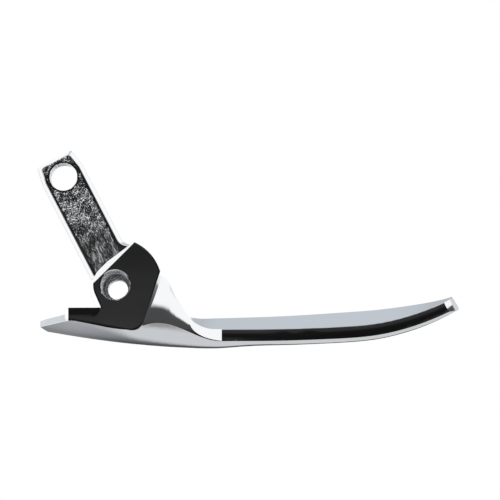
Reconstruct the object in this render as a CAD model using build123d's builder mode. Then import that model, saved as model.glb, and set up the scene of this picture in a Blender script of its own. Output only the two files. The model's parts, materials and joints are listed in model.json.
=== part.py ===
"""Inside door release lever of a car: one chromed die casting with paddle, pivot boss and rod arm."""

from build123d import *

import os
from math import cos, radians, sin, sqrt, tan

# Frame: origin at the middle of the pivot bore, bore along Y, X runs along the paddle to its tip, Z is up.
# The side towards -Y is the near side, and the cabin side of the paddle looks down.

# Paddle, seen from the near side
HEEL_REACH = 21.2  # pivot axis to the short end
TIP_REACH = 96.0  # pivot axis to the long end
BACK_DROP = 12.7  # pivot axis down to the lowest place of the near back edge
BACK_LOW_X = 38.0
BACK_BOW_RADIUS = 490.0
FLARE_X = 68.0  # where the tip starts to curl up
FLARE_RADIUS = 72.0
EDGE_HEIGHT = 3.3  # flat side of the paddle
EDGE_DRAFT = 0.2
TIP_RAKE = 32.0
TIP_SKEW = 10.0
TIP_CORNER = 2.6  # width of the bevel at the tip's near corner
TIP_CORNER_TURN = 32.0  # how far that bevel turns from the near side towards the tip
TIP_CORNER_RISE = 20.0
HEEL_RAKE = 47.5
HEEL_SKEW = 6.7
END_OVERRUN = 2.5  # the paddle runs on past both ends by this much before they are cut off

# Paddle, across
NEAR_EDGE = 8.5  # pivot mid-plane to the near edge, which is straight
HEEL_WIDTH = 17.0
GRIP_WIDTH = 20.0
TIP_WIDTH = 6.5
GRIP_X = 64.0  # where the paddle is widest
HEEL_CANT = 11.9
GRIP_CANT = 16.5
TIP_CANT = 9.0
WIDTH_POWER = 2.5  # how late the width falls towards the tip
CANT_POWER = 3.5
CROWN_RISE = 3.1
SIDE_BULGE = 0.03  # rise of the side over its own height
BACK_EDGE_BREAK = 0.1  # bevel along both edges of the back

# Hull under the boss
HULL_DROP = 10.45  # pivot axis down to the line of the hull's near edge
HULL_FALL = 1.8  # slope of that line towards the tip
HULL_DIP = 2.1  # the edge dips by this much behind the lower edge of the boss
HULL_DIP_X = 3.0
HULL_DIP_HEEL_REACH = 17.0  # how far the dip runs towards the heel
HULL_DIP_TIP_REACH = 8.8
HULL_LIP = 0.15
HULL_END_X = 13.0  # the hull's edge starts to sink into the paddle's here
PADDLE_START_X = 30.0
HEEL_BEND_X = -11.5
HEEL_BEND_RADIUS = 12.0
HEEL_DROOP = 15.0  # the heel slopes down by this angle
KEEL_DROP = 17.4
KEEL_LOW_X = 32.0
KEEL_RADIUS = 270.0
KEEL_BLEND_START = 24.0
KEEL_BLEND_END = 42.0

# Web between boss and paddle
WEB_SLOPE = 59.0
WEB_LINE_X = 15.4  # where the web's sloping back passes the pivot's height
WEB_TOP = 3.4
WEB_NEAR_RADIUS = 10.0
WEB_FAR_RADIUS = 6.0
WEB_TILT = 13.0
WEB_ROOT_X = -4.0
WEB_FULL_X = 8.0

# Flat ground on the near side, where the flank of the web runs out into the paddle
FLAT_TILT = 15.5
FLAT_START_X = 19.0
FLAT_MIDDLE_X = 25.0
FLAT_END_X = 30.3
FLAT_START_GAP = 1.6  # from the crease up to the flat
FLAT_MIDDLE_GAP = 0.35
FLAT_END_GAP = 0.1
FLAT_REACH = 9.0

# Boss
BOSS_DEPTH = 18.0
BOSS_ARC_RADIUS = 13.4
BOSS_ARC_DRAFT = 0.3
BOSS_ARC_END = 16.8  # angle of the arc's lower end above X
BOSS_BACK_RADIUS = 6.2
BOSS_BACK_DRAFT = 1.5
BOSS_BACK_LEAN = 24.0
BOSS_SHOULDER_ANGLE = 135.0  # direction from the pivot in which the shoulder facet looks
SHOULDER_INSET = 4.7  # pivot axis to the facet on the boss face
SHOULDER_BEVEL = 2.3  # width of the facet abreast of the pivot
SHOULDER_TWIST = 9.2  # the facet narrows by this angle towards the arc
SHOULDER_DRAFT = 0.3  # of the wall from the facet down to the parting plane
BOSS_CORNER_X = 7.3
BOSS_CORNER_Z = -13.4
BOSS_CORNER_DRAFT = 7.5
BOSS_CORNER_RADIUS = 3.6
BOSS_RIM_WIDTH = 0.45  # the polished faces fall away slightly at their rims
BOSS_RIM_DROP = 0.06

# Stop foot beside the boss
FOOT_REACH = 13.2
FOOT_TOP = -6.4
FOOT_BOTTOM = -9.8
FOOT_DRAFT = 1.7
SCOOP_RADIUS = 22.0  # shallow hollow along the foot's near top edge
SCOOP_DEPTH = 0.18
SCOOP_END_GAP = 3.0  # its round end stops short of the notch by about this much

# Arm
ARM_LEAN = 27.5
ARM_WIDTH = 10.8
ARM_END_WIDTH = 8.9
ARM_TAPER_LENGTH = 4.6
ARM_OFFSET = 1.1  # the arm's middle lies this far to the right of the pivot
ARM_THICKNESS = 6.0
ARM_DRAFT = 1.1
ARM_CORNER_RADIUS = 0.9
ARM_EDGE_ROUND = 0.3
ARM_FLARE = 2.2  # the right side spreads by this much into the boss
ARM_FLARE_TOP = 10.8  # pivot axis to the flare's start, along the arm
ARM_FLARE_RADIUS = 3.4
ROD_DISTANCE = 35.2
ARM_END_REACH = 5.2  # the arm runs on past the rod bore's axis by this much
ROD_BORE_DIAMETER = 7.9

# Pivot
PIVOT_BORE_DIAMETER = 8.2
PIVOT_BORE_LENGTH = 14.0
PIVOT_TAIL_DIAMETER = 5.8
BORE_BEVEL = 0.35  # at the mouth on the near side


def share(x, start, end):
    """How far x has gone from start to end, from 0 to 1."""
    return min(max((x - start) / (end - start), 0.0), 1.0)


def eased(x, start, end):
    """Like share, with a level start and end."""
    t = share(x, start, end)
    return t * t * (3.0 - 2.0 * t)


def blend(first, second, t):
    return first + (second - first) * t


def spread(start, end, count):
    """Evenly spaced values from just after start up to end."""
    return [blend(start, end, (n + 1) / count) for n in range(count)]


def along_paddle(x, heel, grip, tip, power):
    """A size that goes straight from heel to grip and then falls ever faster to the tip."""
    to_heel = share(x, GRIP_X, -HEEL_REACH)
    to_tip = share(x, GRIP_X, TIP_REACH) ** power
    return grip + (heel - grip) * to_heel + (tip - grip) * to_tip


def width(x):
    return along_paddle(x, HEEL_WIDTH, GRIP_WIDTH, TIP_WIDTH, WIDTH_POWER)


def lift(x):
    """How much higher the far edge lies than the near one."""
    return width(x) * tan(radians(along_paddle(x, HEEL_CANT, GRIP_CANT, TIP_CANT, CANT_POWER)))


def back_height(x):
    """Height of the paddle's near back edge: a long bow and a flare at the tip."""
    bow = max(x - BACK_LOW_X, 0.0) ** 2 / (2.0 * BACK_BOW_RADIUS)
    flare = max(x - FLARE_X, 0.0) ** 2 / (2.0 * FLARE_RADIUS)
    return bow + flare - BACK_DROP


def heel_height(x):
    """Height of the hull's back at its near edge, which droops at the heel."""
    slope = tan(radians(HEEL_DROOP))
    past_bend = max(HEEL_BEND_X - x, 0.0)
    bent = min(past_bend, HEEL_BEND_RADIUS * slope)
    droop = bent**2 / (2.0 * HEEL_BEND_RADIUS) + (past_bend - bent) * slope
    return HULL_LIP - HULL_DROP - x * tan(radians(HULL_FALL)) - droop


def hull_height(x):
    """Height of the hull's near edge, which dips behind the boss."""
    dip_reach = HULL_DIP_HEEL_REACH if x < HULL_DIP_X else HULL_DIP_TIP_REACH
    return heel_height(x) - HULL_LIP - HULL_DIP * eased(abs(x - HULL_DIP_X), dip_reach, 0.0)


def crease_height(x):
    """Height of the line where the crowned front meets the near side."""
    paddle = back_height(x) - EDGE_HEIGHT
    return blend(hull_height(x), paddle, eased(x, HULL_END_X, PADDLE_START_X))


def keel_height(x):
    """Height of the middle of the crowned front."""
    chord = crease_height(x) + lift(x) / 2.0
    keel = max(KEEL_LOW_X - x, 0.0) ** 2 / (2.0 * KEEL_RADIUS) - KEEL_DROP
    hull = min(keel, chord - HULL_LIP)
    crown = chord - CROWN_RISE * width(x) / GRIP_WIDTH
    return blend(hull, crown, eased(x, KEEL_BLEND_START, KEEL_BLEND_END))


def web_rise(x, base, radius):
    """Rise of the web's back over the paddle's back: a sloping line that runs out in an arc."""
    slope = radians(WEB_SLOPE)
    corner = WEB_LINE_X - base / tan(slope)
    reach = radius * tan(slope / 2.0)
    if x >= corner + reach:
        return 0.0
    if x > corner - reach * cos(slope):
        return radius - sqrt(radius**2 - (corner + reach - x) ** 2)
    return min((corner - x) * tan(slope), WEB_TOP - base) * eased(x, WEB_ROOT_X, WEB_FULL_X)


def top_point(x, side, base, radius):
    """Corner of a section's top, on the near side (-1) or the far side (1)."""
    rise = web_rise(x, base, radius)
    edge = -NEAR_EDGE if side < 0 else width(x) - NEAR_EDGE
    return edge - side * rise * tan(radians(WEB_TILT)), base + rise


def side_middle(foot, top, side):
    """Middle of a slightly bulging side."""
    height = top[1] - foot[1]
    return (foot[0] + top[0]) / 2.0 + side * SIDE_BULGE * height, (foot[1] + top[1]) / 2.0


def direction(turn, rise):
    """Unit vector that turns from +X towards -Y and then rises, both in degrees."""
    level = cos(radians(rise))
    return Vector(cos(radians(turn)) * level, -sin(radians(turn)) * level, sin(radians(rise)))


def flat_section(x, gap):
    """What the flat takes off the near side at one place, as a slanted strip above the crease."""
    foot = (-NEAR_EDGE - EDGE_DRAFT, crease_height(x) + gap)
    top = (foot[0] + FLAT_REACH * tan(radians(FLAT_TILT)), foot[1] + FLAT_REACH)
    with BuildSketch(Plane.YZ.offset(x)) as outline:
        with BuildLine():
            Polyline(foot, top, (foot[0] - FLAT_REACH, top[1]), (foot[0] - FLAT_REACH, foot[1]), close=True)
        make_face()
    return outline.sketch


# Stations of the paddle's sections: close together where the web sweeps up, wide apart along the grip
stations = [-HEEL_REACH - END_OVERRUN]
stations += spread(-HEEL_REACH - END_OVERRUN, WEB_ROOT_X, 8)
stations += spread(WEB_ROOT_X, KEEL_BLEND_END, 18)
stations += spread(KEEL_BLEND_END, FLARE_X, 3)
stations += spread(FLARE_X, TIP_REACH + END_OVERRUN, 6)

with BuildPart() as paddle:
    for x in stations:
        base = blend(heel_height(x), back_height(x), eased(x, WEB_ROOT_X, WEB_FULL_X))
        near_top = top_point(x, -1, base, WEB_NEAR_RADIUS)
        far_top = top_point(x, 1, base + lift(x), WEB_FAR_RADIUS)
        near_foot = (-NEAR_EDGE - EDGE_DRAFT, crease_height(x))
        far_foot = (width(x) - NEAR_EDGE + EDGE_DRAFT, crease_height(x) + lift(x))
        keel = (width(x) / 2.0 - NEAR_EDGE, keel_height(x))
        with BuildSketch(Plane.YZ.offset(x)) as section:
            with BuildLine():
                Line(near_top, far_top)
                ThreePointArc(far_top, side_middle(far_foot, far_top, 1), far_foot)
                ThreePointArc(far_foot, keel, near_foot)
                ThreePointArc(near_foot, side_middle(near_foot, near_top, -1), near_top)
            make_face()
            back_corners = [section.vertices().sort_by_distance(top)[0] for top in (near_top, far_top)]
            chamfer(back_corners, BACK_EDGE_BREAK)
    loft()
    flat_places = (
        (FLAT_START_X, FLAT_START_GAP),
        (FLAT_MIDDLE_X, FLAT_MIDDLE_GAP),
        (FLAT_END_X, FLAT_END_GAP),
    )
    loft([flat_section(x, gap) for x, gap in flat_places], mode=Mode.SUBTRACT)
    tip = Vector(TIP_REACH, -NEAR_EDGE, back_height(TIP_REACH) - EDGE_HEIGHT / 2.0)
    heel = Vector(-HEEL_REACH, -NEAR_EDGE, heel_height(-HEEL_REACH))
    corner = tip - Vector(TIP_CORNER, 0, 0)
    split(bisect_by=Plane(origin=tip, z_dir=direction(TIP_SKEW, TIP_RAKE)), keep=Keep.BOTTOM)
    corner_normal = direction(90.0 - TIP_CORNER_TURN, TIP_CORNER_RISE)
    split(bisect_by=Plane(origin=corner, z_dir=corner_normal), keep=Keep.BOTTOM)
    split(bisect_by=Plane(origin=heel, z_dir=direction(HEEL_SKEW, HEEL_RAKE)), keep=Keep.TOP)


def polar(radius, angle):
    return radius * cos(radians(angle)), radius * sin(radians(angle))


def back_end(grow, inset):
    """Where the boss's round back runs out into its lower back edge."""
    return Vector(*polar(BOSS_BACK_RADIUS + grow * BOSS_BACK_DRAFT - inset, 180.0 + BOSS_BACK_LEAN))


def notch_x(grow, inset):
    """Where the lower back edge meets the top of the foot."""
    end = back_end(grow, inset)
    return end.X + (end.Y - FOOT_TOP + inset) * tan(radians(BOSS_BACK_LEAN))


def boss_section(y, grow, inset=0.0):
    """Outline of boss and foot; grow is 0 on the faces and 1 at the parting plane, inset draws it in."""
    arc_radius = BOSS_ARC_RADIUS + grow * BOSS_ARC_DRAFT - inset
    back_radius = BOSS_BACK_RADIUS + grow * BOSS_BACK_DRAFT - inset
    shoulder = sqrt(arc_radius**2 - back_radius**2)
    shoulder_start = Vector(*polar(back_radius, BOSS_SHOULDER_ANGLE))
    shoulder_end = shoulder_start + Vector(*polar(shoulder, BOSS_SHOULDER_ANGLE - 90.0))
    arc_end = polar(arc_radius, BOSS_ARC_END)
    corner = (BOSS_CORNER_X + grow * BOSS_CORNER_DRAFT - inset, BOSS_CORNER_Z + inset)
    foot_x = -FOOT_REACH - grow * FOOT_DRAFT + inset
    foot_top = FOOT_TOP - inset
    lower_back = back_end(grow, inset)
    middle_angle = (BOSS_SHOULDER_ANGLE + 180.0 + BOSS_BACK_LEAN) / 2.0
    start_angle = Vector(shoulder_end).get_angle(Vector(1, 0, 0))
    with BuildSketch(Plane.XZ.offset(-y)) as outline:
        with BuildLine():
            Line(shoulder_start, shoulder_end)
            ThreePointArc(shoulder_end, polar(arc_radius, (start_angle + BOSS_ARC_END) / 2.0), arc_end)
            Polyline(
                arc_end,
                corner,
                (foot_x, FOOT_BOTTOM + inset),
                (foot_x, foot_top),
                (notch_x(grow, inset), foot_top),
                lower_back,
            )
            ThreePointArc(lower_back, polar(back_radius, middle_angle), shoulder_start)
        make_face()
        fillet(outline.vertices().sort_by_distance(corner)[0], BOSS_CORNER_RADIUS)
    return outline.sketch


boss_face = BOSS_DEPTH / 2.0
arm_face = ARM_THICKNESS / 2.0
shoulder_out = Vector(cos(radians(BOSS_SHOULDER_ANGLE)), 0, sin(radians(BOSS_SHOULDER_ANGLE)))
shoulder_along = Vector(shoulder_out.Z, 0, -shoulder_out.X)
arm_length = ROD_DISTANCE + ARM_END_REACH


def facet_section(along):
    """What the shoulder facets of both faces take away, at a place along the shoulder."""
    bevel = SHOULDER_BEVEL - along * tan(radians(SHOULDER_TWIST))
    step = boss_face - bevel
    ridge = bevel + SHOULDER_DRAFT
    origin = shoulder_out * SHOULDER_INSET + shoulder_along * along
    with BuildSketch(Plane(origin=origin, x_dir=shoulder_out, z_dir=shoulder_along)) as outline:
        with BuildLine():
            Polyline(
                (0, boss_face),
                (bevel, step),
                (ridge, 0),
                (bevel, -step),
                (0, -boss_face),
                (BOSS_ARC_RADIUS, -boss_face),
                (BOSS_ARC_RADIUS, boss_face),
                close=True,
            )
        make_face()
    return outline.sketch


with BuildPart() as boss:
    for face_side in (-1, 1):
        face = boss_section(face_side * boss_face, 0.0, BOSS_RIM_WIDTH)
        rim = boss_section(face_side * (boss_face - BOSS_RIM_DROP), 0.0)
        loft([face, rim, boss_section(0.0, 1.0)], ruled=True)
    facet_ends = (-BOSS_BACK_RADIUS, BOSS_ARC_RADIUS)
    loft([facet_section(along) for along in facet_ends], ruled=True, mode=Mode.SUBTRACT)
    scoop_axis = -boss_face + SCOOP_DEPTH - SCOOP_RADIUS
    with Locations((notch_x(0.0, 0.0) - SCOOP_END_GAP, scoop_axis, FOOT_TOP)):
        Sphere(SCOOP_RADIUS, mode=Mode.SUBTRACT)
        Cylinder(
            SCOOP_RADIUS,
            FOOT_REACH,
            rotation=(0, -90, 0),
            align=(Align.CENTER, Align.CENTER, Align.MIN),
            mode=Mode.SUBTRACT,
        )


def arm_section(y, grow):
    """Outline of the arm with a tapered end, grown all round by the draft at the parting plane."""
    right = ARM_WIDTH / 2.0 + grow
    end_right = ARM_END_WIDTH / 2.0 + grow
    end = arm_length + grow
    lean = radians(ARM_LEAN)
    plane = Plane(origin=(0, y, 0), x_dir=(cos(lean), 0, sin(lean)), z_dir=(0, -1, 0))
    with BuildSketch(plane) as outline:
        with BuildLine(Location((ARM_OFFSET, 0))):
            Polyline(
                (-right, 0),
                (right + ARM_FLARE, 0),
                (right + ARM_FLARE, ARM_FLARE_TOP - ARM_FLARE),
                (right, ARM_FLARE_TOP),
                (right, arm_length - ARM_TAPER_LENGTH),
                (end_right, end),
                (-end_right, end),
                (-right, arm_length - ARM_TAPER_LENGTH),
                close=True,
            )
        make_face()
        fillet(outline.vertices().group_by(Axis.Y)[-1], ARM_CORNER_RADIUS)
        flare_corner = (ARM_OFFSET + right, ARM_FLARE_TOP)
        fillet(outline.vertices().sort_by_distance(flare_corner)[0], ARM_FLARE_RADIUS)
    return outline.sketch


with BuildPart() as arm:
    loft([arm_section(y, grow) for y, grow in ((-arm_face, 0), (0, ARM_DRAFT), (arm_face, 0))], ruled=True)
    for face_side in (0, -1):
        rim = arm.faces().filter_by(GeomType.PLANE).sort_by(Axis.Y)[face_side].edges()
        fillet(rim, ARM_EDGE_ROUND)

with BuildPart() as lever:
    add(paddle.part)
    add(boss.part)
    add(arm.part)
    with Locations(Location((0, -boss_face, 0), (90, 0, 0))):
        CounterBoreHole(
            radius=PIVOT_TAIL_DIAMETER / 2.0,
            counter_bore_radius=PIVOT_BORE_DIAMETER / 2.0,
            counter_bore_depth=PIVOT_BORE_LENGTH,
        )
        Cone(
            PIVOT_BORE_DIAMETER / 2.0,
            PIVOT_BORE_DIAMETER / 2.0 + BORE_BEVEL,
            BORE_BEVEL,
            align=(Align.CENTER, Align.CENTER, Align.MAX),
            mode=Mode.SUBTRACT,
        )
    rod_x = ARM_OFFSET * cos(radians(ARM_LEAN)) - ROD_DISTANCE * sin(radians(ARM_LEAN))
    rod_z = ARM_OFFSET * sin(radians(ARM_LEAN)) + ROD_DISTANCE * cos(radians(ARM_LEAN))
    with Locations(Location((rod_x, 0, rod_z), (90, 0, 0))):
        Hole(ROD_BORE_DIAMETER / 2.0)

lever.part.label = "release_lever"
os.makedirs("parts", exist_ok=True)
export_step(lever.part, "parts/release_lever.step")
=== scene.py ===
"""Chromed door release lever in a light tent that is dark towards the camera, on a white background."""

import json
import math

import bpy
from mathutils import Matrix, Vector

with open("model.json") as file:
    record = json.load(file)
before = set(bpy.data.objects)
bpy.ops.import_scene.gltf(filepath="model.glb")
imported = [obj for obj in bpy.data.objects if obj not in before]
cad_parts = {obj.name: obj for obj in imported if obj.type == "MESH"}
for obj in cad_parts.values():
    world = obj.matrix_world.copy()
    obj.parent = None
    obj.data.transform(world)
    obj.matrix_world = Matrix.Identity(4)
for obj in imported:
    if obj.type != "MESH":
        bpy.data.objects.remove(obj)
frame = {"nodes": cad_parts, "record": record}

MM = 0.001
DEGREES = math.degrees(1.0)  # in a radian

# A soft edge is a pair of limits: it starts at the first one and is complete at the second

# Places of the casting that its finish follows: mounts from the record, and sizes of the arm
MOUNTS = {mount["name"]: mount for mount in frame["record"]["mounts"]}
ARM_FACE = 3.0 * MM  # the arm's faces lie this far from the pivot's mid-plane
ARM_HALF_WIDTH = 5.4 * MM
ARM_LEAN = math.radians(27.5)
ARM_MIDDLE = 1.1 * MM  # the arm's middle line passes the pivot at this distance
ARM_ALONG = (-math.sin(ARM_LEAN), 0.0, math.cos(ARM_LEAN))
ARM_ACROSS = (math.cos(ARM_LEAN), 0.0, math.sin(ARM_LEAN))

# Faces left as cast: soft edges of the rough skin on the arm's faces and in the bores
CAST_FACING = (0.9, 0.97)  # how squarely a face looks along the pivot's axis
CAST_DEPTH = (ARM_FACE + 0.4 * MM, ARM_FACE + 0.2 * MM)
CAST_FOOT = (3.0 * MM, 4.0 * MM)  # up the arm from the pivot
CAST_SIDES = (ARM_HALF_WIDTH - 0.3 * MM, ARM_HALF_WIDTH - 1.2 * MM)
CAST_ROD_RIM = (0.2 * MM, 0.8 * MM)  # outwards from the rod bore's wall
BORE_RIM = (0.1 * MM, -0.05 * MM)  # outwards from a bore's wall

# Cast skin: grain in cells per metre and heights; a stretch or draw below 1 makes the cells longer
ARM_GRAIN = 1300.0
ARM_STRETCH = 0.6
ARM_GRAIN_HEIGHT = 0.58 * MM
ARM_ROUGHNESS = 0.16
STREAK_GRAIN = 2200.0
STREAK_STRETCH = 0.13
STREAK_HEIGHT = 0.32 * MM
STREAK_ROUGHNESS = 0.22
STREAKS = (24.0 * MM, 12.0 * MM)  # pimples give way to streaks here, going down the arm
OVERLAP_LIFT = 1.4  # raises both grains where they run into each other
PATCH_GRAIN = 330.0  # patches where the arm's skin is flatter or bolder
PATCH_NOISE = (0.36, 0.64)
PATCH_HEIGHTS = (0.68, 1.35)
BORE_GRAIN = 1250.0
BORE_GRAIN_HEIGHT = 1.1 * MM
BORE_DRAW = 0.2  # the bores' grain is drawn out along them
BORE_ROUGHNESS = 0.22
COARSE_SHARE = 0.7
FINE_SHARE = 0.3
FINE_GRAIN = 2.3  # times the coarse grain
NOISE_MIDDLE = 0.5

# Parting line, a faint ridge in the mid-plane along the arm's edge and the boss's left side
PARTING_HEIGHT = 0.10 * MM
PARTING_WIDTH = (0.25 * MM, 0.02 * MM)
PARTING_ARM = (11.0 * MM, 12.0 * MM)  # up the arm from the pivot
PARTING_LEFT = (-2.0 * MM, -3.0 * MM)
PARTING_BOTTOM = (-9.4 * MM, -9.0 * MM)

# Polished plating: waves, pits and smudges, with grain in cells per metre
PLATE_COLOUR = (0.86, 0.87, 0.885, 1.0)
WAVE_GRAIN = 70.0
WAVE_HEIGHT = 0.055 * MM
PIT_GRAIN = 130.0
PIT_EDGE = (0.035, 0.012)  # distance from the pit's middle, as a share of a cell
PIT_HEIGHT = -0.05 * MM
SMUDGE_GRAIN = 160.0
SMUDGE_NOISE = (0.4, 0.7)
SMUDGE_ROUGHNESS = (0.035, 0.075)

# Camera: it looks slightly up at the lever from the side of the pivot bore's wide mouth
CAMERA_TARGET = Vector((38.07, -0.1, 10.84)) * MM
CAMERA_AZIMUTH = math.radians(1.5)
CAMERA_ELEVATION = math.radians(-6.2)
CAMERA_DISTANCE = 1.0
SENSOR_WIDTH = 36.0
PICTURE_PIXELS = 500
PIXEL_AT_TARGET = 0.286 * MM
PICTURE_WIDTH = PICTURE_PIXELS * PIXEL_AT_TARGET

# Floor, below the main picture
FLOOR_HEIGHT = -0.16
FLOOR_HALF = 8.0
FLOOR_COLOUR = (0.95, 0.95, 0.95, 1.0)
FLOOR_ROUGHNESS = 0.9

# Light tent: colours by direction, where azimuth 0 is the camera side and angles are in degrees
WHITE = (1.0, 1.0, 1.0, 1.0)
TENT = (1.07, 1.07, 1.07, 1.0)
CEILING = (0.60, 0.62, 0.64, 1.0)
CEILING_EDGE = (50.0, 74.0)
SLIT = (0.19, 0.195, 0.20, 1.0)  # narrow opening in the ceiling, from straight up to the left
SLIT_SIDES = (5.4, 3.6)  # angles to the front and the back
SLIT_LEFT = (-24.0, -20.0)
SLIT_RIGHT = (2.5, 0.0)
SLIT_RISE = (50.0, 60.0)
BACK_WALL_LOW = (0.49, 0.52, 0.56, 1.0)
BACK_WALL_HIGH = (0.58, 0.62, 0.665, 1.0)
BACK_WALL_RISE = (17.0, 28.0)
BACK_WALL_LEFT = (-166.0, -176.0)
BACK_WALL_RIGHT = (156.0, 170.0)
BACK_WALL_BOTTOM = (7.0, 10.5)
BACK_WALL_TOP = (72.0, 50.0)
RIGHT_WALL = (0.74, 0.75, 0.77, 1.0)
RIGHT_WALL_LOW = (0.28, 0.29, 0.31, 1.0)
RIGHT_WALL_RISE = (6.0, 34.0)
RIGHT_WALL_FRONT = (28.0, 42.0)
RIGHT_WALL_BACK = (136.0, 120.0)
RIGHT_WALL_TOP = (60.0, 46.0)
LEFT_WALL = (0.26, 0.27, 0.29, 1.0)
LEFT_WALL_FRONT = (-48.0, -66.0)
LEFT_WALL_BACK = (-133.0, -114.0)
LEFT_WALL_TOP = (40.0, -4.0)
TABLE = (0.66, 0.67, 0.68, 1.0)
TABLE_FRONT = (0.34, 0.34, 0.35, 1.0)
TABLE_FRONT_SIDES = (100.0, 60.0)
TABLE_FRONT_RISE = (-70.0, -48.0)
TABLE_EDGE_BACK = -9.0
TABLE_EDGE_SIDES = -16.0
TABLE_EDGE_TURN = (150.0, 170.0)
TABLE_EDGE_BLUR = 4.0
TABLE_LIP = (0.10, 0.10, 0.105, 1.0)  # dark strip along the table's far edge
TABLE_LIP_SIDES = (168.0, 174.0)
TABLE_LIP_BOTTOM = (-16.0, -11.0)
TABLE_LIP_TOP = (-1.0, -4.0)

# Dark card of the tent, on the camera side
CARD_LEFT = (-44.0, -32.0)
CARD_RIGHT = 109.0
CARD_RIGHT_LOW = 162.5  # the card reaches further round just below the horizon
CARD_RIGHT_BLUR = 3.0
CARD_LOW_BOTTOM = (-16.0, -11.0)
CARD_LOW_TOP = (1.5, 0.0)
CARD_TOP = (33.5, 30.5)
CARD_BOTTOM = (-48.0, -38.0)
CARD_THIN = 0.3  # share of what is behind the card that shows where it is thin
CARD_THIN_LEFT = (21.0, 27.0)
CARD_THIN_RIGHT = (70.0, 60.0)
CARD_SIDE = (0.009, 0.009, 0.009, 1.0)
CARD_MIDDLE = (14.0, 9.0)  # away from the middle the card has the colour of its sides
CARD_END = (0.050, 0.050, 0.050, 1.0)  # paler towards its right end
CARD_END_RISE = (95.0, 125.0)
LENS = (0.007, 0.007, 0.007, 1.0)  # darkest patch, in the middle of the card
LENS_LEFT = (-2.7, -1.3)
LENS_RIGHT = (2.6, 1.3)
LENS_TOP = (11.0, 8.0)
CARD_SPAN = (-50.0, 50.0)  # elevations that hold the levels
CARD_LEVELS = (  # brightness of the card's middle by elevation
    (-45.0, 0.012),
    (-3.0, 0.012),
    (1.0, 0.032),
    (4.6, 0.038),
    (5.6, 0.026),
    (6.6, 0.018),
    (8.5, 0.009),
    (14.5, 0.009),
    (17.0, 0.027),
    (21.0, 0.035),
    (25.0, 0.072),
    (30.0, 0.072),
)

# Dark flag, a level sheet below the heel that only reflections show
FLAG_HEIGHT = -30.0 * MM
FLAG_BOX = ((-60.0 * MM, 130.0 * MM), (-30.0 * MM, 110.0 * MM))  # left to right, front to back
FLAG_NEAR = (0.32, 0.33, 0.345, 1.0)
FLAG_FAR = (0.083, 0.088, 0.095, 1.0)
FLAG_PALE_NEAR = (0.41, 0.42, 0.435, 1.0)
FLAG_PALE_FAR = (0.245, 0.25, 0.26, 1.0)
FLAG_DEEPENING = (-10.0 * MM, 24.0 * MM)  # from the near colours to the far ones, going back
FLAG_PALING = (2.0 * MM, -24.0 * MM)  # to the pale colours, going left
FLAG_SLANT = 0.9  # its front edge runs back by this much for each step to the right
FLAG_EDGE = (-10.0 * MM, 6.0 * MM)
FLAG_BACK = (108.0 * MM, 80.0 * MM)
FLAG_LEFT = (-38.0 * MM, -24.0 * MM)

# Small card beside the tip, white above and dark below, that only reflections show
TIP_CARD_X = 108.0 * MM
TIP_CARD_BOX = ((-14.0 * MM, -9.8 * MM), (0.0 * MM, 8.0 * MM))  # front to back, bottom to top
TIP_CARD_REAR = (-10.1 * MM, -10.5 * MM)
TIP_CARD_PARTING = (3.7 * MM, 4.3 * MM)
TIP_CARD_DARK = (0.085, 0.085, 0.085, 1.0)


class Graph:
    """Adds nodes to a node tree and links them, so that a tree reads as a list of steps."""

    def __init__(self, tree):
        self.tree = tree
        tree.nodes.clear()

    def node(self, kind, inputs=(), **settings):
        """New node with its settings; inputs gives a value or a link for each socket."""
        made = self.tree.nodes.new(kind)
        for name, value in settings.items():
            setattr(made, name, value)
        for socket, value in dict(inputs).items():
            self.feed(made.inputs[socket], value)
        return made

    def feed(self, socket, value):
        if isinstance(value, bpy.types.NodeSocket):
            self.tree.links.new(value, socket)
        else:
            socket.default_value = value

    def math(self, operation, *values):
        inputs = dict(enumerate(values))
        return self.node("ShaderNodeMath", inputs, operation=operation).outputs[0]

    def add(self, first, *others):
        for other in others:
            first = self.math("ADD", first, other)
        return first

    def times(self, first, *others):
        for other in others:
            first = self.math("MULTIPLY", first, other)
        return first

    def ramp(self, value, low, high, start=0.0, end=1.0):
        """Smooth step from start, at low, to end, at high."""
        if low > high:
            low, high, start, end = high, low, end, start
        inputs = {"Value": value, "From Min": low, "From Max": high, "To Min": start, "To Max": end}
        return self.node("ShaderNodeMapRange", inputs, interpolation_type="SMOOTHSTEP").outputs[0]

    def mix(self, factor, first, second):
        """Colour between two others."""
        return self.node("ShaderNodeMix", {0: factor, 6: first, 7: second}, data_type="RGBA").outputs[2]

    def blend(self, factor, first, second):
        """Number between two others."""
        return self.node("ShaderNodeMix", {0: factor, 2: first, 3: second}, data_type="FLOAT").outputs[0]

    def split(self, vector):
        return self.node("ShaderNodeSeparateXYZ", {0: vector}).outputs

    def vector(self, operation, first, second):
        return self.node("ShaderNodeVectorMath", {0: first, 1: second}, operation=operation).outputs

    def dot(self, vector, direction):
        return self.vector("DOT_PRODUCT", vector, direction)["Value"]

    def noise(self, vector, scale, detail=2.0):
        inputs = {"Vector": vector, "Scale": scale, "Detail": detail}
        return self.node("ShaderNodeTexNoise", inputs).outputs[0]


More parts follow.
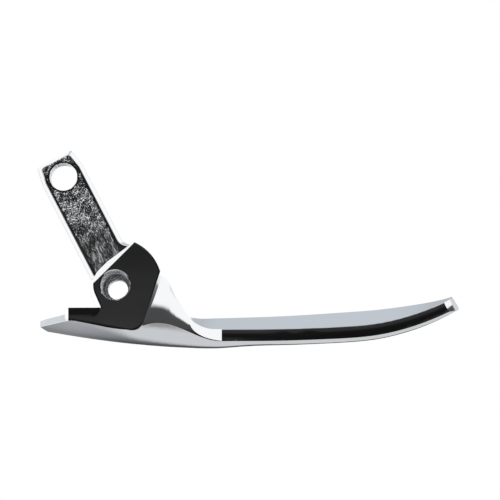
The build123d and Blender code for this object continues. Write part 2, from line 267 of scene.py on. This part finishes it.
def tent_walls(g, azimuth, elevation):
    """Colour of the tent above its table: the white cloth, the ceiling and the grey walls."""
    right = g.times(
        g.ramp(azimuth, *RIGHT_WALL_FRONT),
        g.ramp(azimuth, *RIGHT_WALL_BACK),
        g.ramp(elevation, *RIGHT_WALL_TOP),
    )
    right_wall = g.mix(g.ramp(elevation, *RIGHT_WALL_RISE), RIGHT_WALL_LOW, RIGHT_WALL)
    left = g.times(
        g.ramp(azimuth, *LEFT_WALL_FRONT),
        g.ramp(azimuth, *LEFT_WALL_BACK),
        g.ramp(elevation, *LEFT_WALL_TOP),
    )
    back = g.times(
        g.add(g.ramp(azimuth, *BACK_WALL_LEFT), g.ramp(azimuth, *BACK_WALL_RIGHT)),
        g.ramp(elevation, *BACK_WALL_BOTTOM),
        g.ramp(elevation, *BACK_WALL_TOP),
    )
    back_wall = g.mix(g.ramp(elevation, *BACK_WALL_RISE), BACK_WALL_LOW, BACK_WALL_HIGH)
    walls = g.mix(g.ramp(elevation, *CEILING_EDGE), TENT, CEILING)
    walls = g.mix(right, walls, right_wall)
    walls = g.mix(left, walls, LEFT_WALL)
    return g.mix(back, walls, back_wall)


def ceiling_slit(g, x, y, elevation):
    """Share of the slit in the ceiling, which lies between angles to the right and to the back."""
    to_back = g.times(g.math("ARCSINE", y), DEGREES)
    to_right = g.times(g.math("ARCSINE", x), DEGREES)
    return g.times(
        g.ramp(g.math("ABSOLUTE", to_back), *SLIT_SIDES),
        g.ramp(to_right, *SLIT_LEFT),
        g.ramp(to_right, *SLIT_RIGHT),
        g.ramp(elevation, *SLIT_RISE),
    )


def set_table(g, above, off_axis, elevation):
    """Puts the grey table, and the dark strip along its far edge, under what is above."""
    front = g.times(g.ramp(off_axis, *TABLE_FRONT_SIDES), g.ramp(elevation, *TABLE_FRONT_RISE))
    table = g.mix(front, TABLE, TABLE_FRONT)
    edge = g.ramp(off_axis, *TABLE_EDGE_TURN, TABLE_EDGE_SIDES, TABLE_EDGE_BACK)
    over_edge = g.math("SUBTRACT", elevation, edge)
    tent = g.mix(g.ramp(over_edge, -TABLE_EDGE_BLUR, 0.0), table, above)
    lip = g.times(
        g.ramp(off_axis, *TABLE_LIP_SIDES),
        g.ramp(elevation, *TABLE_LIP_BOTTOM),
        g.ramp(elevation, *TABLE_LIP_TOP),
    )
    return g.mix(lip, tent, TABLE_LIP)


def card_cover(g, azimuth, elevation):
    """Share of the dark card, which reaches furthest round just below the horizon."""
    low = g.times(g.ramp(elevation, *CARD_LOW_BOTTOM), g.ramp(elevation, *CARD_LOW_TOP))
    right = g.blend(low, CARD_RIGHT, CARD_RIGHT_LOW)
    thin = g.times(g.ramp(azimuth, *CARD_THIN_LEFT), g.ramp(azimuth, *CARD_THIN_RIGHT), CARD_THIN)
    return g.times(
        g.ramp(elevation, *CARD_TOP),
        g.ramp(elevation, *CARD_BOTTOM),
        g.ramp(azimuth, *CARD_LEFT),
        g.ramp(g.math("SUBTRACT", azimuth, right), CARD_RIGHT_BLUR, -CARD_RIGHT_BLUR),
        g.math("SUBTRACT", 1.0, thin),
    )


def card_brightness(g, elevation):
    """Brightness of the dark card's middle, which changes with elevation."""
    low, high = CARD_SPAN
    limits = {"Value": elevation, "From Min": low, "From Max": high}
    span = g.node("ShaderNodeMapRange", limits).outputs[0]
    levels = g.node("ShaderNodeValToRGB", {"Fac": span})
    stops = levels.color_ramp.elements
    while len(stops) < len(CARD_LEVELS):
        stops.new(1.0)
    for stop, (angle, level) in zip(stops, CARD_LEVELS):
        stop.position = (angle - low) / (high - low)
        stop.color = (level, level, level, 1.0)
    return levels.outputs["Color"]


def card_colour(g, azimuth, elevation, off_axis):
    """Colour of the dark card: in bands round the lens, plain at its sides and paler at its right end."""
    lens = g.times(
        g.ramp(azimuth, *LENS_LEFT),
        g.ramp(azimuth, *LENS_RIGHT),
        g.ramp(elevation, *LENS_TOP),
    )
    colour = g.mix(g.ramp(off_axis, *CARD_MIDDLE), CARD_SIDE, card_brightness(g, elevation))
    colour = g.mix(lens, colour, LENS)
    return g.mix(g.ramp(azimuth, *CARD_END_RISE), colour, CARD_END)


def light_tent():
    """World: plain white for the camera; the chrome mirrors a white tent with a dark card over a table."""
    world = bpy.data.worlds.new("light_tent")
    world.use_nodes = True
    bpy.context.scene.world = world
    g = Graph(world.node_tree)
    x, y, z = g.split(g.node("ShaderNodeTexCoord").outputs["Generated"])
    elevation = g.times(g.math("ARCSINE", z), DEGREES)
    azimuth = g.times(g.math("ARCTAN2", x, g.times(y, -1.0)), DEGREES)
    off_axis = g.math("ABSOLUTE", azimuth)

    above = tent_walls(g, azimuth, elevation)
    above = g.mix(ceiling_slit(g, x, y, elevation), above, SLIT)
    tent = set_table(g, above, off_axis, elevation)
    card = card_cover(g, azimuth, elevation)
    tent = g.mix(card, tent, card_colour(g, azimuth, elevation, off_axis))

    seen = g.node("ShaderNodeLightPath").outputs["Is Camera Ray"]
    light = g.node("ShaderNodeBackground", {"Color": g.mix(seen, tent, WHITE)})
    g.node("ShaderNodeOutputWorld", {"Surface": light.outputs[0]})


def new_material(name):
    """Material without nodes yet, and the graph that adds them."""
    material = bpy.data.materials.new(name)
    material.use_nodes = True
    return material, Graph(material.node_tree)


def stage_sheet(name, corners, material):
    """Flat sheet of the studio, which isn't part of the lever."""
    mesh = bpy.data.meshes.new(name)
    mesh.from_pydata(corners, [], [(0, 1, 2, 3)])
    mesh.materials.append(material)
    sheet = bpy.data.objects.new(name, mesh)
    bpy.context.collection.objects.link(sheet)
    return sheet


def studio_floor():
    """Pale floor that takes the shadow and is clear from below; the chrome mirrors the tent's table."""
    material, g = new_material("pale_floor")
    paint = g.node("ShaderNodeBsdfPrincipled", {"Base Color": FLOOR_COLOUR, "Roughness": FLOOR_ROUGHNESS})
    clear = g.node("ShaderNodeBsdfTransparent")
    below = g.node("ShaderNodeNewGeometry").outputs["Backfacing"]
    shader = g.node("ShaderNodeMixShader", {0: below, 1: paint.outputs[0], 2: clear.outputs[0]})
    g.node("ShaderNodeOutputMaterial", {"Surface": shader.outputs[0]})
    around = ((-1, -1), (1, -1), (1, 1), (-1, 1))
    corners = [(x * FLOOR_HALF, y * FLOOR_HALF, FLOOR_HEIGHT) for x, y in around]
    floor = stage_sheet("floor", corners, material)
    floor.visible_glossy = False


def reflected_sheet(name, corners, cover, colour):
    """Sheet that only reflections show; cover and colour take a graph and the split place on the sheet."""
    material, g = new_material(name)
    place = g.split(g.node("ShaderNodeTexCoord").outputs["Object"])
    clear = g.node("ShaderNodeBsdfTransparent")
    cloth = g.node("ShaderNodeEmission", {"Color": colour(g, place)})
    shader = g.node("ShaderNodeMixShader", {0: cover(g, place), 1: clear.outputs[0], 2: cloth.outputs[0]})
    g.node("ShaderNodeOutputMaterial", {"Surface": shader.outputs[0]})
    sheet = stage_sheet(name, corners, material)
    sheet.visible_camera = False
    sheet.visible_diffuse = False
    sheet.visible_shadow = False


def dark_flag():
    """Level sheet below the heel that darkens the hull, with a slanting front edge."""

    def cover(g, place):
        behind_slant = g.math("SUBTRACT", place["Y"], g.times(place["X"], FLAG_SLANT))
        return g.times(
            g.ramp(behind_slant, *FLAG_EDGE),
            g.ramp(place["Y"], *FLAG_BACK),
            g.ramp(place["X"], *FLAG_LEFT),
        )

    def colour(g, place):
        back = g.ramp(place["Y"], *FLAG_DEEPENING)
        dark = g.mix(back, FLAG_NEAR, FLAG_FAR)
        pale = g.mix(back, FLAG_PALE_NEAR, FLAG_PALE_FAR)
        return g.mix(g.ramp(place["X"], *FLAG_PALING), dark, pale)

    (left, right), (front, rear) = FLAG_BOX
    around = ((left, front), (right, front), (right, rear), (left, rear))
    reflected_sheet("dark_flag", [(x, y, FLAG_HEIGHT) for x, y in around], cover, colour)


def tip_card():
    """Small upright card beside the tip, for the white patch and the dark strip on the tip's bevel."""

    def cover(g, place):
        return g.ramp(place["Y"], *TIP_CARD_REAR)

    def colour(g, place):
        return g.mix(g.ramp(place["Z"], *TIP_CARD_PARTING), TIP_CARD_DARK, TENT)

    (front, rear), (low, high) = TIP_CARD_BOX
    around = ((front, low), (rear, low), (rear, high), (front, high))
    reflected_sheet("tip_card", [(TIP_CARD_X, y, z) for y, z in around], cover, colour)


def bore_radius(mount):
    return MOUNTS[mount]["dims"]["r_mm"] * MM


def distance_from_axis(g, place, mount):
    """Distance of a place from the axis of a bore that runs along Y."""
    x, _, z = MOUNTS[mount]["pos_m"]
    without_y = (1.0, 0.0, 1.0)
    flat = g.vector("MULTIPLY", place, without_y)["Vector"]
    return g.vector("DISTANCE", flat, (x, 0.0, z))["Value"]


def rough_faces(g, place, along, depth):
    """1 on the arm's two flat faces, up to the rim of the rod bore, and 0 elsewhere."""
    facing = g.split(g.node("ShaderNodeNewGeometry").outputs["Normal"])["Y"]
    across = g.math("ABSOLUTE", g.math("SUBTRACT", g.dot(place, ARM_ACROSS), ARM_MIDDLE))
    rod_rim = [bore_radius("rod_bore") + out for out in CAST_ROD_RIM]
    return g.times(
        g.ramp(g.math("ABSOLUTE", facing), *CAST_FACING),
        g.ramp(depth, *CAST_DEPTH),
        g.ramp(along, *CAST_FOOT),
        g.ramp(across, *CAST_SIDES),
        g.ramp(distance_from_axis(g, place, "rod_bore"), *rod_rim),
    )


def bore_walls(g, place):
    """1 inside both bores and 0 elsewhere."""
    radius = bore_radius("pivot_bore")
    pivot = distance_from_axis(g, place, "pivot_bore")
    rod = distance_from_axis(g, place, "rod_bore")
    nearest = g.math("MINIMUM", pivot, g.add(rod, radius - bore_radius("rod_bore")))
    rim = [radius + out for out in BORE_RIM]
    return g.ramp(nearest, *rim)


def parting_line(g, place, along, depth):
    """1 in the mid-plane of the arm and of the boss's left side, and 0 elsewhere."""
    x, _, z = g.split(place)
    boss_side = g.times(g.ramp(x, *PARTING_LEFT), g.ramp(z, *PARTING_BOTTOM))
    sides = g.math("MAXIMUM", g.ramp(along, *PARTING_ARM), boss_side)
    return g.times(sides, g.ramp(depth, *PARTING_WIDTH))


def cast_grain():
    """Node group: cast skin as a height about zero, stretched along the arm and drawn out along Y."""
    group = bpy.data.node_groups.new("cast_grain", "ShaderNodeTree")
    group.interface.new_socket("Vector", in_out="INPUT", socket_type="NodeSocketVector")
    for name in ("Grain", "Stretch", "Draw"):
        group.interface.new_socket(name, in_out="INPUT", socket_type="NodeSocketFloat")
    group.interface.new_socket("Height", in_out="OUTPUT", socket_type="NodeSocketFloat")
    g = Graph(group)
    given = g.node("NodeGroupInput").outputs
    along = g.times(g.dot(given["Vector"], ARM_ALONG), given["Stretch"])
    across = g.dot(given["Vector"], ARM_ACROSS)
    depth = g.times(g.split(given["Vector"])["Y"], given["Draw"])
    skin = g.node("ShaderNodeCombineXYZ", {0: across, 1: depth, 2: along}).outputs[0]
    coarse = g.noise(skin, given["Grain"], detail=1.0)
    fine = g.noise(skin, g.times(given["Grain"], FINE_GRAIN))
    height = g.add(g.times(coarse, COARSE_SHARE), g.times(fine, FINE_SHARE), -NOISE_MIDDLE)
    g.node("NodeGroupOutput", {"Height": height})
    return group


def cast_skin(g, place, grain, size, stretch=1.0, draw=1.0):
    """Height from the grain's node group, with cells of one size."""
    inputs = {"Vector": place, "Grain": size, "Stretch": stretch, "Draw": draw}
    return g.node("ShaderNodeGroup", inputs, node_tree=grain).outputs["Height"]


def arm_skin(g, place, grain, streaks):
    """Height of the arm's cast skin: pimples that turn to streaks, flatter or bolder in patches."""
    pimples = g.times(cast_skin(g, place, grain, ARM_GRAIN, stretch=ARM_STRETCH), ARM_GRAIN_HEIGHT)
    drawn = g.times(cast_skin(g, place, grain, STREAK_GRAIN, stretch=STREAK_STRETCH), STREAK_HEIGHT)
    overlap = g.times(streaks, g.math("SUBTRACT", 1.0, streaks))
    lift = g.add(g.times(overlap, OVERLAP_LIFT), 1.0)
    patches = g.ramp(g.noise(place, PATCH_GRAIN, detail=1.0), *PATCH_NOISE, *PATCH_HEIGHTS)
    return g.times(g.blend(streaks, pimples, drawn), lift, patches)


def chrome_plate():
    """Bright chrome over a polished casting; the arm's faces and the bores are left rough as cast."""
    material, g = new_material("chrome_plate")
    place = g.node("ShaderNodeTexCoord").outputs["Object"]
    along = g.dot(place, ARM_ALONG)
    depth = g.math("ABSOLUTE", g.split(place)["Y"])
    rough = rough_faces(g, place, along, depth)
    bore = bore_walls(g, place)
    parting = parting_line(g, place, along, depth)
    streaks = g.ramp(along, *STREAKS)

    grain = cast_grain()
    bore_skin = cast_skin(g, place, grain, BORE_GRAIN, draw=BORE_DRAW)
    wave = g.noise(place, WAVE_GRAIN, detail=1.0)
    speck = g.node("ShaderNodeTexVoronoi", {"Vector": place, "Scale": PIT_GRAIN}).outputs["Distance"]
    height = g.add(
        g.times(arm_skin(g, place, grain, streaks), rough),
        g.times(bore_skin, bore, BORE_GRAIN_HEIGHT),
        g.times(wave, WAVE_HEIGHT),
        g.times(parting, PARTING_HEIGHT),
        g.times(g.ramp(speck, *PIT_EDGE), PIT_HEIGHT),
    )
    bump = g.node("ShaderNodeBump", {"Strength": 1.0, "Distance": 1.0, "Height": height})
    smudge = g.ramp(g.noise(place, SMUDGE_GRAIN, detail=4.0), *SMUDGE_NOISE, *SMUDGE_ROUGHNESS)
    cast_roughness = g.blend(streaks, ARM_ROUGHNESS, STREAK_ROUGHNESS)
    roughness = g.blend(rough, smudge, cast_roughness)
    roughness = g.blend(bore, roughness, BORE_ROUGHNESS)
    shader = g.node(
        "ShaderNodeBsdfPrincipled",
        {
            "Base Color": PLATE_COLOUR,
            "Metallic": 1.0,
            "Roughness": roughness,
            "Normal": bump.outputs[0],
        },
    )
    g.node("ShaderNodeOutputMaterial", {"Surface": shader.outputs[0]})
    return material


def camera():
    """Camera of the main picture; its lens gives a pixel of the picture its size at the target."""
    data = bpy.data.cameras.new("camera")
    data.sensor_width = SENSOR_WIDTH
    data.lens = SENSOR_WIDTH * CAMERA_DISTANCE / PICTURE_WIDTH
    made = bpy.data.objects.new("camera", data)
    bpy.context.collection.objects.link(made)
    level = math.cos(CAMERA_ELEVATION)
    away = Vector(
        (math.sin(CAMERA_AZIMUTH) * level, -math.cos(CAMERA_AZIMUTH) * level, math.sin(CAMERA_ELEVATION))
    )
    made.location = CAMERA_TARGET + away * CAMERA_DISTANCE
    made.rotation_euler = away.to_track_quat("Z", "Y").to_euler()
    bpy.context.scene.camera = made


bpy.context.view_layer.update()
bpy.context.scene.view_settings.view_transform = "Standard"
light_tent()
frame["nodes"]["release_lever"].material_slots[0].material = chrome_plate()
studio_floor()
dark_flag()
tip_card()
camera()
